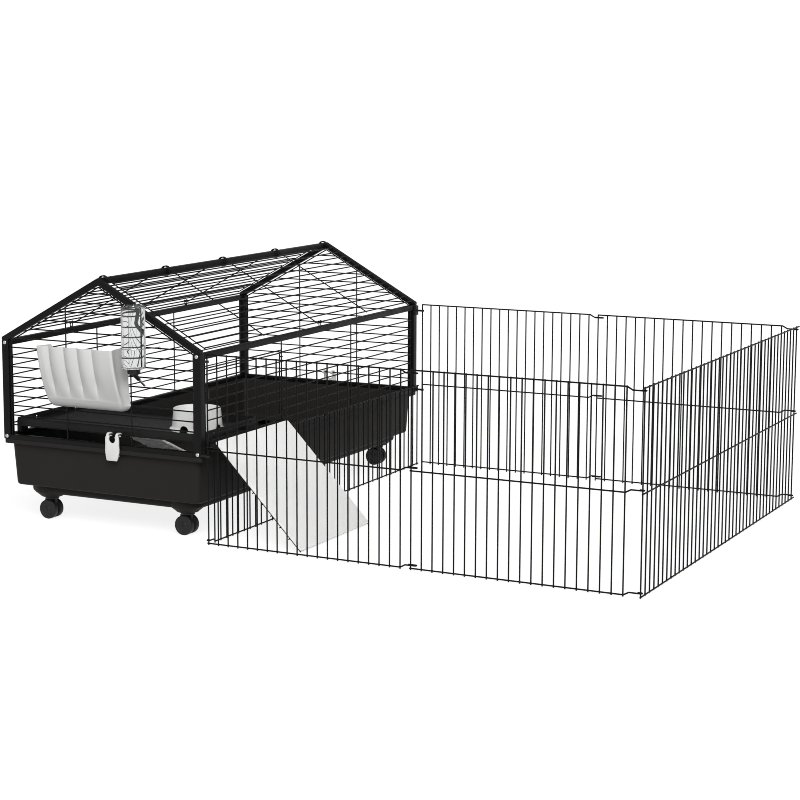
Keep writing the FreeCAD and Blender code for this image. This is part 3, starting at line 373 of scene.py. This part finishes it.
# pan-head screws with a cross recess
heads = []
for sx in (-1, 1):
    for sy in (-1, 1):
        for z in (463.5, 222.0):
            prof = [(5.0, 0.0), (5.0, 0.7), (4.8, 1.25), (4.2, 1.85), (3.2, 2.3), (1.9, 2.55), (1.5, 2.58)]
            heads.append(lathe([(r, sy * h) for r, h in prof], 40, (sx * (HALF - 10), sy * HL, z), "y"))
screws = make("screw_heads", *join(heads), angle=60.0)
crosses = []
for sx in (-1, 1):
    for sy in (-1, 1):
        for z in (463.5, 222.0):
            x, y = sx * (HALF - 10), sy * (HL + 2.6)
            a, b = sorted((y - sy * 1.3, y + sy * 1.0))
            crosses.append(block(x - 3.0, x + 3.0, a, b, z - 0.55, z + 0.55))
            crosses.append(block(x - 0.55, x + 0.55, a, b, z - 3.0, z - 0.5501))
            crosses.append(block(x - 0.55, x + 0.55, a, b, z + 0.5501, z + 3.0))
cross = make("screw_cross", *join(crosses))
boolean(screws, cross, "DIFFERENCE")
tidy(screws, 40.0)
piece(screws, M_ZINC, "cage", "zinc_screw", "frame_screws")

# ------------------------------------------------------------------ platform
PH, PN, PF = 272.0, -578.0, -281.0
pcx, pcy, phx, phy = 0.0, (PN + PF) / 2, PH, (PF - PN) / 2


def ring(inset, r, z):
    return rounded(phx - inset, phy - inset, r, z, 6, pcx, pcy)


deck = make("platform_deck", *skin([ring(2.2, 4, 246.0), ring(0.7, 5.4, 246.5), ring(0, 6, 247.8), ring(0, 6, 266.6), ring(0.5, 5.6, 267.6), ring(1.2, 5, 268.0),
                                    ring(2.2, 4, 268.0), ring(2.8, 3.5, 267.5), ring(3.0, 3.3, 266.4), ring(3.0, 3.3, 252.4), ring(3.6, 2.8, 250.8), ring(5.0, 2, 250.0)]))
drill = []
for y in (-495.0, -320.0):
    v, f = lathe([(4.6, -290.0), (4.6, 290.0)], 40, (0, 0, 0))
    drill.append(([(z, y + b, 257.5 + a) for a, b, z in v], f))
boolean(deck, make("platform_drill", *join(drill)), "DIFFERENCE")
tidy(deck, 35.0)
piece(deck, M_SHELF, "cage", "black_plastic", "platform")
ears = []
for sx, y in ((-1, -545), (-1, -345), (1, -545), (1, -345)):
    a, b = sorted((sx * (PH - 1.4), sx * (PH + 14.5)))
    ears.append(block(a, b, y - 13, y + 13, 226.0, 258.0))
ob = make("platform_ears", *join(ears))
bevel(ob, 1.6, 3)
piece(ob, M_SHELF, "cage", "black_plastic", "platform")

# ------------------------------------------------------------------ inner ramp
top = bezier([(-280.8, 246), (-267, 241), (-240, 224), (-175.4, 184.5), (-110.8, 145), (-71.3, 127.4), (-31.9, 109.7), (24, 84.8), (40, 77.6)], 5)
IX0, IX1 = -235.0, -130.0


def ramp_section(y, z, i):
    """Across the ramp: a board with two raised rims."""
    t = 4.0
    lift = 3.0 * min(1.0, i / 3.0) * min(1.0, (len(top) - 1 - i) / 3.0)
    floor = max(z - t, 76.4)
    return [(IX0, y, floor), (IX1, y, floor), (IX1, y, z + lift * 0.8), (IX1 - 0.8, y, z + lift), (IX1 - 2.2, y, z + lift), (IX1 - 3.2, y, z + lift * 0.8), (IX1 - 4.4, y, z + 0.4), (IX1 - 6.0, y, z),
            (IX0 + 6.0, y, z), (IX0 + 4.4, y, z + 0.4), (IX0 + 3.2, y, z + lift * 0.8), (IX0 + 2.2, y, z + lift), (IX0 + 0.8, y, z + lift), (IX0, y, z + lift * 0.8)]


ob = make("inner_ramp_board", *skin([ramp_section(y, z, i) for i, (y, z) in enumerate(top)]))
bevel(ob, 0.6, 2, 50.0)
piece(ob, M_THIN, "cage", "white_plastic", "inner_ramp")
treads = []
for i in range(8):
    y = -210 + 26.0 * i
    z = 224 + (y + 240) * (145 - 224) / (240 - 110.8) if y < -110.8 else 145 + (y + 110.8) * (109.7 - 145) / (110.8 - 31.9)
    v, f = lathe([(1.3, 0.0), (1.8, 0.6), (1.8, 92.4), (1.3, 93.0)], 16)
    treads.append(([(IX0 + 6 + h, y + a, z + b) for a, b, h in v], f))
ob = make("inner_ramp_treads", *join(treads), angle=50.0)
piece(ob, M_WHITE, "cage", "white_plastic", "inner_ramp")

# ------------------------------------------------------------------ food bowl
BX, BY, BZ = 177.0, -424.0, 250.1
prof = bezier([(30.0, 22.0), (43.0, 22.0), (49.0, 24.4), (52.6, 29.5), (55.7, 51.4), (56.4, 53.9), (57.8, 55.0), (59.4, 54.6), (60.1, 52.6), (61.2, 40.0), (63.2, 18.0), (64.6, 8.4), (66.5, 5.4), (69.3, 3.8), (70.0, 2.6), (70.0, 0.6), (69.4, 0.0),
               (64.6, 0.0), (63.9, 0.5), (61.4, 9.0), (59.6, 16.4), (57.0, 18.6), (30.0, 18.6)], 4)
bowl = make("bowl_body", *lathe(prof, 128, (BX, BY, BZ)), angle=50.0)
arches = []
for k in range(2):
    arc = [(12.5 * math.cos(math.radians(a)), 4.4 + 12.2 * math.sin(math.radians(a))) for a in range(0, 181, 12)] + [(-12.5, -3.0), (12.5, -3.0)]
    a0 = [(BX + u, BY - 100, BZ + w) if k == 0 else (BX - 100, BY + u, BZ + w) for u, w in arc]
    a1 = [(BX + u, BY + 100, BZ + w) if k == 0 else (BX + 100, BY + u, BZ + w) for u, w in arc]
    arches.append(skin([a0, a1]))
for v, f in arches:
    boolean(bowl, make("bowl_arch", v, f), "DIFFERENCE")
tidy(bowl, 40.0)
piece(bowl, M_WHITE, "cage", "white_plastic", "food_bowl")

# ------------------------------------------------------------------ hay feeder
FY = -601.2
CREASE = (-128.0, -97.0, -52.0, -12.0, 31.5, 95.5)
X0, X1 = CREASE[0], CREASE[-1]
side = bezier([(4.0, 316.0), (18.0, 316.0), (27.0, 318.2), (34.0, 323.2), (40.0, 331.0), (45.0, 341.0), (46.6, 345.4), (54.0, 362.0), (63.5, 386.0), (73.5, 418.0), (80.5, 451.0), (83.0, 468.0), (83.6, 474.6)], 4)


def flute(x):
    """How far the front stands back at x: rounded lobes that meet in sharp creases."""
    for i in range(5):
        a, b = CREASE[i], CREASE[i + 1]
        if x <= b or i == 4:
            t = min(1.0, max(0.0, (x - a) / (b - a)))
            back = 9.5 * (1.0 - math.sin(math.pi * t) ** 0.8)
            if i == 0 and t < 0.5:
                back = 0.0
            if i == 4 and t > 0.5:
                back = 0.0
            return back
    return 0.0


def corner(x, r):
    """Rise of a rounded corner of radius r at the two ends."""
    e = min(x - X0, X1 - x)
    return 0.0 if e >= r else r - math.sqrt(max(0.0, r * r - (r - e) ** 2))


xs = []
for i in range(5):
    a, b = CREASE[i], CREASE[i + 1]
    for k in range(16):
        xs.append(a + (b - a) * (k / 16.0))
xs += [X0 + d for d in (0.25, 0.8, 1.8, 3.2, 5.0, 7.4, 10.0, 13.0)] + [X1 - d for d in (0.0, 0.25, 0.8, 1.8, 3.2, 5.0, 7.4, 10.0, 13.0)]
xs = sorted(set(round(q, 3) for q in xs))
grid = []
for x in xs:
    ring_ = []
    for d, z in side:
        amp = max(0.0, min(1.0, (z - 344.0) / 36.0))
        low = max(0.0, 1.0 - (z - 316.0) / 40.0)
        depth = d - flute(x) * amp - corner(x, 7.0) * 0.7
        ring_.append((x, FY - max(1.0, depth), z + corner(x, 14.0) * low))
    grid.append(ring_)
v, f = skin(grid, False, False, closed=False)
n = len(side)
# end cheeks: from the side profile back to the wires, dished inwards
for end, sgn in ((0, 1), (len(grid) - 1, -1)):
    base = end * n
    prev = [base + j for j in range(n)]
    for k in range(1, 13):
        t = k / 12.0
        row = []
        for j in range(n):
            x, y, z = grid[end][j]
            tall = max(0.0, min(1.0, (z - 322.0) / 60.0))
            dish = 9.0 * math.sin(math.pi * t) * tall + 6.0 * t * t * tall
            drop = max(0.0, z - 430.0) * max(0.0, t - 0.5) * 1.5 if sgn > 0 else 0.0
            v.append((x + sgn * dish, y + (FY - y) * t, z - drop))
            row.append(len(v) - 1)
        for j in range(n - 1):
            f.append((prev[j], prev[j + 1], row[j + 1], row[j]))
        prev = row
feeder = make("feeder_shell", v, f, angle=38.0)
m = feeder.modifiers.new("wall", "SOLIDIFY")
m.thickness = 0.0028
m.offset = -1.0
m.use_even_offset = False
deps = bpy.context.evaluated_depsgraph_get()
me = bpy.data.meshes.new_from_object(feeder.evaluated_get(deps))
feeder.modifiers.clear()
feeder.data = me
tidy(feeder, 38.0)
piece(feeder, M_FEED_PAINTED_SHADE, "cage", "white_plastic", "hay_feeder")
bars = [block(X0 + 14, X1 - 14, FY - 3, FY, 318.8, 331), block(X0 + 8, X1 - 8, FY - 3, FY, 446, 458),
        block(X0 + 30, X0 + 40, FY - 4, FY - 0.8, 440, 460), block(X1 - 36, X1 - 26, FY - 4, FY - 0.8, 440, 460)]
ob = make("feeder_back_bars", *join(bars))
bevel(ob, 0.8, 2)
piece(ob, M_FEED_PAINTED_SHADE, "cage", "white_plastic", "hay_feeder")

# ------------------------------------------------------------------ water bottle
WX, WY = 128.0, -634.0
prof = [(3.0, 580.0), (13.0, 580.0), (14.0, 580.4), (15.0, 581.8), (17.0, 582.7), (26.0, 583.0), (28.2, 582.4), (29.5, 580.7), (30.0, 578.0), (30.0, 540.0), (30.0, 500.0), (30.0, 470.0), (30.0, 433.4), (29.5, 430.6), (28.2, 428.9), (26.0, 428.3), (3.0, 428.3)]
ob = make("bottle_body", *lathe(prof, 96, (WX, WY, 0)), angle=55.0)
piece(ob, M_CLEAR, "cage", "clear_bottle", "water_bottle")
prof = [(3.0, 428.0), (15.2, 428.0), (15.8, 427.6), (16.0, 426.8), (16.0, 417.2), (15.7, 416.0), (14.8, 415.0), (13.4, 414.5), (3.0, 414.5)]
capv, capf = lathe(prof, 96, (WX, WY, 0))
# the nose that holds the spout leans towards the cage
nosev, nosef = lathe([(2.0, -4.0), (6.0, -4.0), (6.0, 2.0), (5.7, 12.0), (5.0, 25.4), (4.7, 26.5), (4.1, 27.0), (3.06, 27.0), (3.06, 12.0), (2.0, 12.0)], 48)
turn = Vector((0, 0, 1)).rotation_difference(Vector((0, 0.8, -0.6)))
nosev = [tuple(Vector((WX, WY, 415.0)) + turn @ Vector(q)) for q in nosev]
capv, capf = join([(capv, capf), (nosev, nosef)])
ob = make("bottle_cap_body", capv, capf, angle=40.0)
piece(ob, M_CAP, "cage", "black_gloss", "bottle_cap")

# ------------------------------------------------------------------ outer ramp board
TX, TZ, FX, FZ = 318.0, 250.37, 557.5, 2.6
RN, RW = -573.0, 357.0
run = Vector((FX - TX, 0, FZ - TZ))
RL = run.length
ru = run.normalized()
rn_ = Vector((-ru.z, 0, ru.x))
o = Vector((TX, RN, TZ)) + rn_ * 1.66 + ru * 1.0


def board_ring(inset, rad, h):
    pts = rounded((RL - 1.0) / 2 - inset, RW / 2 - inset, rad, 0, 8)
    out = []
    for a, b, _ in pts:
        out.append(tuple(o + ru * (a + (RL - 1.0) / 2) + Vector((0, b + RW / 2, 0)) + rn_ * h))
    return out


ob = make("ramp_board", *skin([board_ring(0.9, 6, 0.0), board_ring(0.2, 6.6, 0.3), board_ring(0, 6.8, 1.0), board_ring(0, 6.8, 3.1), board_ring(0.25, 6.6, 3.7), board_ring(0.9, 6, 4.0)]))
piece(ob, M_BOARD, "outer_ramp", "ramp_board", "outer_ramp_board")

# ------------------------------------------------------------------ tray clips
def clip(name, sy, cx, body):
    """Fork clip: two hooked prongs round the lowest gable wire, a tongue over the tray rim."""
    cw = 45.0
    ya, z0, yo, ct = HL - 8.5, 251.0, HL + 2.4, 3.6
    pts = []
    edge = [(-17.0, 250.0), (-19.0, 246.5), (-20.0, 241.0), (-20.0, 226.0), (-20.6, 216.0), (-20.2, 206.0), (-18.6, 194.0), (-17.2, 188.4), (-15.4, 186.0), (13.0, 186.0), (15.0, 188.4), (17.6, 196.0), (20.2, 207.0), (20.6, 216.0), (20.0, 226.0), (20.0, 241.0), (19.0, 246.5), (17.0, 250.0), (11.0, 250.0)]
    u = [(9.6 * math.cos(math.radians(a)), 240.5 + 9.6 * math.sin(math.radians(a))) for a in range(36, -217, -12)]
    pts = edge + u + [(-11.0, 250.0)]
    plate = skin([[(cx + x, sy * yo, z) for x, z in pts], [(cx + x, sy * (yo + ct), z) for x, z in pts]])
    parts = [plate]
    for e in (-1, 1):
        xa = cx + e * 13.6
        # the hook: up the outside, over the wire and down behind it
        path = [(yo + ct / 2, 246.8)]
        for a in range(0, 91, 15):
            r = 5.4
            path.append((yo + ct / 2 - r + r * math.cos(math.radians(a)), z0 - 2.0 + r * math.sin(math.radians(a)) + 0.0))
        path += [(ya + 3.0, z0 + 3.55)]
        for a in range(90, 301, 15):
            path.append((ya + 3.6 * math.cos(math.radians(a)), z0 + 3.6 * math.sin(math.radians(a))))
        rings = []
        half = 1.75
        for i, (y, z) in enumerate(path):
            p, q = path[max(0, i - 1)], path[min(len(path) - 1, i + 1)]
            d = Vector((q[0] - p[0], q[1] - p[1])).normalized()
            nn = Vector((-d.y, d.x))
            ring_ = []
            for s, w in ((-3.2, -half), (3.2, -half), (3.2, half), (-3.2, half)):
                ring_.append((xa + s, sy * (y + nn.x * w), z + nn.y * w))
            rings.append(ring_)
        parts.append(skin(rings))
    a, b = sorted((sy * (HL - 7.0), sy * (yo + 1)))
    parts.append(block(cx - 14, cx + 14, a, b, 195.6, 199.8))
    ob = make(name + "_body", *join(parts))
    bevel(ob, 0.7, 2, 40.0)
    piece(ob, M_CLIP, body, "clip_plastic", name)


clip("tray_clip_near", -1, 40.0, "tray_clip_near")
clip("tray_clip_far", 1, 5.0, "tray_clip_far")

# ------------------------------------------------------------------ casters
for end, sy in (("near", -1), ("far", 1)):
    for side_, sx in (("left", -1), ("right", 1)):
        tag = end + "_" + side_
        cx, cy = sx * 207.0, sy * 521.0
        ax = cx - 3.0
        neck = lathe([(16.0, 51.0), (17.2, 51.5), (18.0, 52.6), (18.0, 57.4), (17.4, 58.2), (16.2, 58.5)], 64, (cx, cy, 0))
        web = lathe([(16.2, -4.5), (17.0, -3.7), (17.0, 3.7), (16.2, 4.5)], 64, (ax, cy, 25.0), "y")
        arm = prism([(ax - 17, 25.5), (ax + 17, 25.5), (cx + 12, 52), (cx + 12, 54), (cx - 16, 54), (ax - 17, 49)], cy - 4.4, cy + 4.4)
        stem = lathe([(4.6, 57.0), (5.0, 57.5), (5.0, 87.4), (4.4, 88.0)], 32, (cx, cy, 0))
        ob = make("caster_%s_frame" % tag, *join([neck, web, arm, stem]), angle=40.0)
        piece(ob, M_CASTER, "caster_" + tag, "caster_plastic", "caster_fork_" + tag)
        parts = []
        for s in (-1, 1):
            y0 = cy + s * 5.1
            p = [(8.0, 0.0), (23.4, 0.0), (24.6, 0.5), (25.0, 1.6), (25.0, 11.7), (24.7, 12.7), (23.9, 13.3), (22.9, 13.5), (19.4, 13.5), (18.8, 13.3), (18.2, 12.6), (17.6, 12.3),
                 (10.0, 12.1), (8.6, 12.3), (7.8, 13.0), (7.0, 13.4), (6.0, 13.5), (4.4, 13.5), (4.0, 13.1), (3.8, 12.3)]
            parts.append(lathe([(r, s * h) for r, h in p], 72, (ax, y0, 25.0), "y"))
        ob = make("caster_%s_wheel_pair" % tag, *join(parts), angle=40.0)
        piece(ob, M_WHEEL, "wheels_" + tag, "caster_tread", "caster_wheels_" + tag)
        pin = lathe([(2.4, -18.1), (3.0, -17.5), (3.0, 17.5), (2.4, 18.1)], 28, (ax, cy, 25.0), "y")
        ob = make("caster_%s_pin" % tag, *pin, angle=40.0)
        piece(ob, M_CASTER, "wheels_" + tag, "caster_tread", "caster_wheels_" + tag)

# ------------------------------------------------------------------ stage, light and camera
floor = bpy.data.meshes.new("floor")
floor.from_pydata([(-60, -60, 0), (60, -60, 0), (60, 60, 0), (-60, 60, 0)], [], [(0, 1, 2, 3)])
fo = bpy.data.objects.new("floor", floor)
bpy.context.scene.collection.objects.link(fo)
fm = bpy.data.materials.new("pale_floor")
fm.use_nodes = True
fm.node_tree.nodes["Principled BSDF"].inputs["Base Color"].default_value = (0.22, 0.22, 0.22, 1)
fm.node_tree.nodes["Principled BSDF"].inputs["Emission Color"].default_value = (1.0, 1.0, 1.0, 1)
fm.node_tree.nodes["Principled BSDF"].inputs["Emission Strength"].default_value = 0.84
fm.node_tree.nodes["Principled BSDF"].inputs["Roughness"].default_value = 0.9
fm.node_tree.nodes["Principled BSDF"].inputs["Specular IOR Level"].default_value = 0.1
floor.materials.append(fm)
fo.visible_diffuse = False

world = bpy.data.worlds.new("studio")
bpy.context.scene.world = world
world.use_nodes = True
wt = world.node_tree
wc = wt.nodes.new("ShaderNodeTexCoord")
ws = wt.nodes.new("ShaderNodeSeparateXYZ")
wr = wt.nodes.new("ShaderNodeValToRGB")
wm = wt.nodes.new("ShaderNodeMapRange")
wm.inputs["From Min"].default_value = -0.5
wm.inputs["From Max"].default_value = 1.0
wr.color_ramp.elements[0].position = 0.267
wr.color_ramp.elements[0].color = (0.20, 0.20, 0.20, 1)
wr.color_ramp.elements[1].position = 0.427
wr.color_ramp.elements[1].color = (0.34, 0.34, 0.34, 1)
for at in (0.30, 0.373):
    wr.color_ramp.elements.new(at).color = (1.0, 1.0, 1.0, 1)
wt.links.new(wc.outputs["Generated"], ws.inputs["Vector"])
wt.links.new(ws.outputs["Z"], wm.inputs["Value"])
wt.links.new(wm.outputs["Result"], wr.inputs["Fac"])
wt.links.new(wr.outputs["Color"], wt.nodes["Background"].inputs["Color"])
wt.nodes["Background"].inputs["Strength"].default_value = 1.05


def area(name, loc, target, size, power, color=(1, 1, 1)):
    l = bpy.data.lights.new(name, "AREA")
    l.shape = "RECTANGLE"
    l.size, l.size_y = size
    l.energy = power
    l.color = color
    o_ = bpy.data.objects.new(name, l)
    bpy.context.scene.collection.objects.link(o_)
    o_.location = loc
    o_.rotation_euler = (Vector(target) - Vector(loc)).to_track_quat("-Z", "Y").to_euler()
    return o_


sun = bpy.data.lights.new("overhead", "SUN")
sun.energy = 3.2
sun.angle = math.radians(40)
so = bpy.data.objects.new("overhead", sun)
bpy.context.scene.collection.objects.link(so)
so.rotation_euler = Vector((-0.406, 0.650, -0.643)).to_track_quat("-Z", "Y").to_euler()
area("key", (2.6, -3.6, 2.4), (-0.5, -0.4, 0.35), (1.4, 1.4), 24)

scene = bpy.context.scene
scene.view_settings.view_transform = "Standard"
scene.view_settings.look = "None"
scene.cycles.filter_width = 0.9
scene.render.filter_size = 0.9

AZ, EL = math.radians(27.692), math.radians(8.959)
cam = bpy.data.cameras.new("camera")
co = bpy.data.objects.new("camera", cam)
scene.collection.objects.link(co)
cam.sensor_width = 36.0
cam.sensor_fit = "HORIZONTAL"
cam.lens = 2070.04 * 36.0 / 800.0
cam.shift_x = (400.0 - 352.05) / 800.0
cam.shift_y = (391.26 - 400.0) / 800.0
cam.clip_end = 200.0
fwd = Vector((-math.sin(AZ) * math.cos(EL), math.cos(AZ) * math.cos(EL), -math.sin(EL)))
co.location = C((2927.5, -4820.2, 1161.9))
co.rotation_euler = fwd.to_track_quat("-Z", "Y").to_euler()
scene.camera = co
